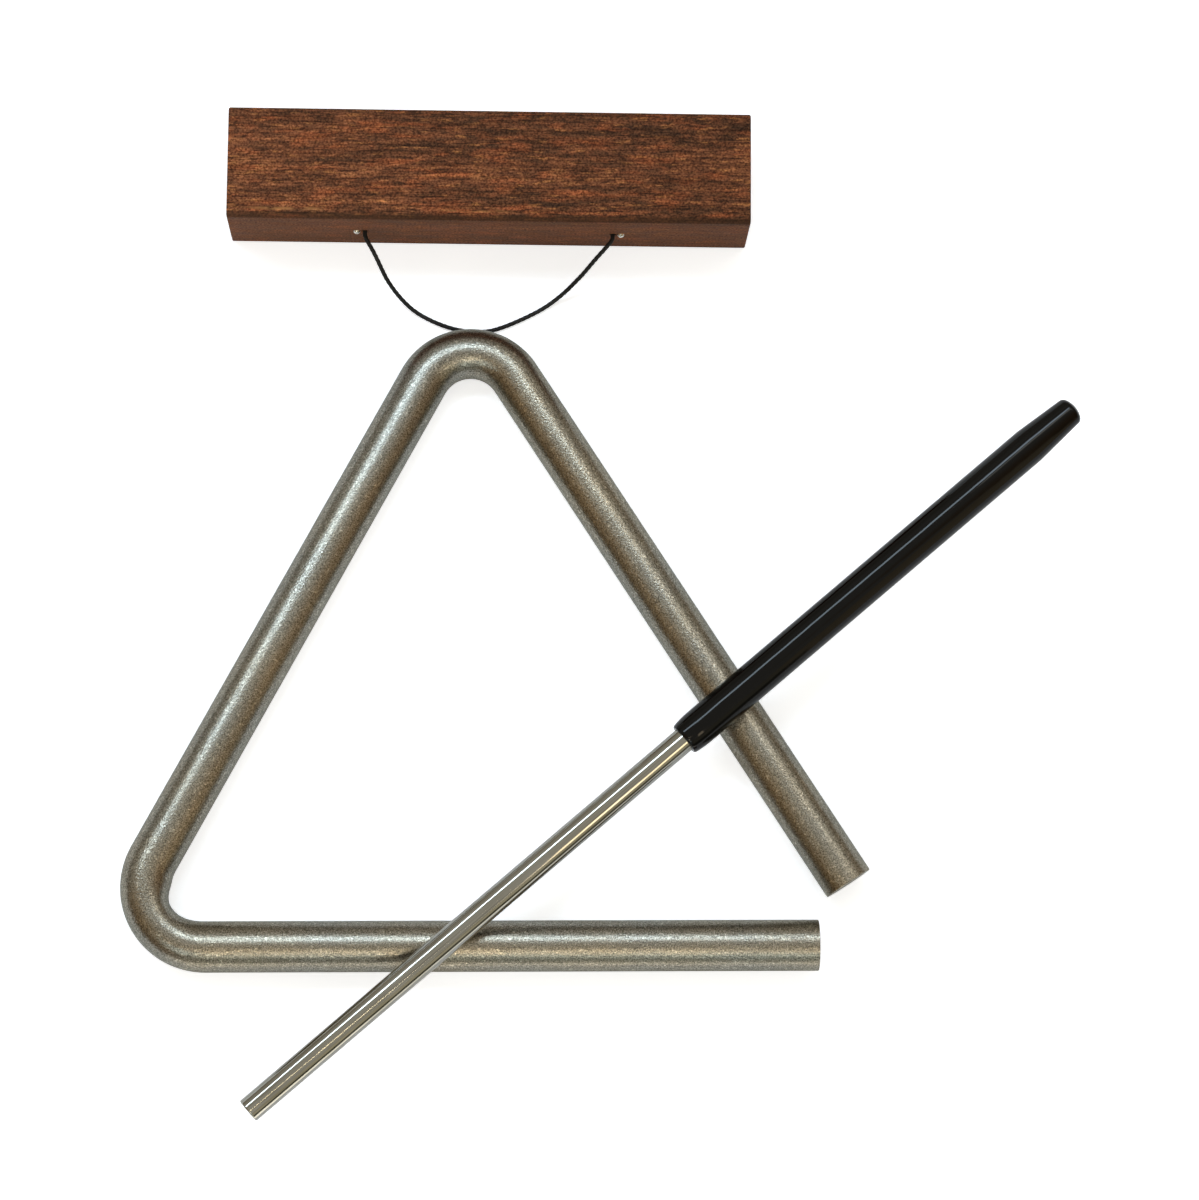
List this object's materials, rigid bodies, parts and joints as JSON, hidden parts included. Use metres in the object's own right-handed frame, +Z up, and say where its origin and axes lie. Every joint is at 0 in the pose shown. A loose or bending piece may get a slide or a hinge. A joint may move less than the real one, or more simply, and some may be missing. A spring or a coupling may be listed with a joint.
{
  "type": "triangle instrument",
  "caption": "Open steel triangle with a hardwood hand holder, a thin cord loop that carries it, and a steel beater with a soft black grip lying across it.",
  "frame": {"origin": "centre of the holder's back face, which lies on the table", "axes": "+X along the holder to the right, +Y from the triangle towards the holder, +Z up from the table to the holder's front face"},
  "size_m": [0.1787, 0.1893, 0.0191],
  "materials": {
    "holder_wood": "oiled reddish brown hardwood with dark pores",
    "pin_steel": "plain steel brad",
    "black_cord": "thin waxed black cord",
    "blasted_steel": "satin plated over a blasted surface, warm grey",
    "polished_steel": "polished bright",
    "black_vinyl": "glossy black dipped vinyl"
  },
  "bodies": {
    "holder": {"holder_block": "holder_wood", "cord_pin_left": "pin_steel", "cord_pin_right": "pin_steel", "cord_end_left": "black_cord", "cord_end_right": "black_cord"},
    "loop": {"cord_loop": "black_cord"},
    "triangle": {"triangle_rod": "blasted_steel"},
    "beater": {"beater_shaft": "polished_steel", "beater_grip": "black_vinyl"}
  },
  "joints": [
    {"name": "loop_swing", "type": "hinge", "parent": "holder", "child": "loop", "pos_m": [0, -0.0112, 0.0095], "axis": [-1, 0, 0], "range_deg": [0, 90]},
    {"name": "triangle_rock", "type": "hinge", "parent": "loop", "child": "triangle", "pos_m": [-0.0031, -0.04342, 0.00476], "axis": [0, 0, 1], "range_deg": [-20, 20]},
    {"name": "beater_lift", "type": "slide", "parent": "triangle", "child": "beater", "axis": [0, 0, 1], "range_m": [0, 0.15]}
  ]
}
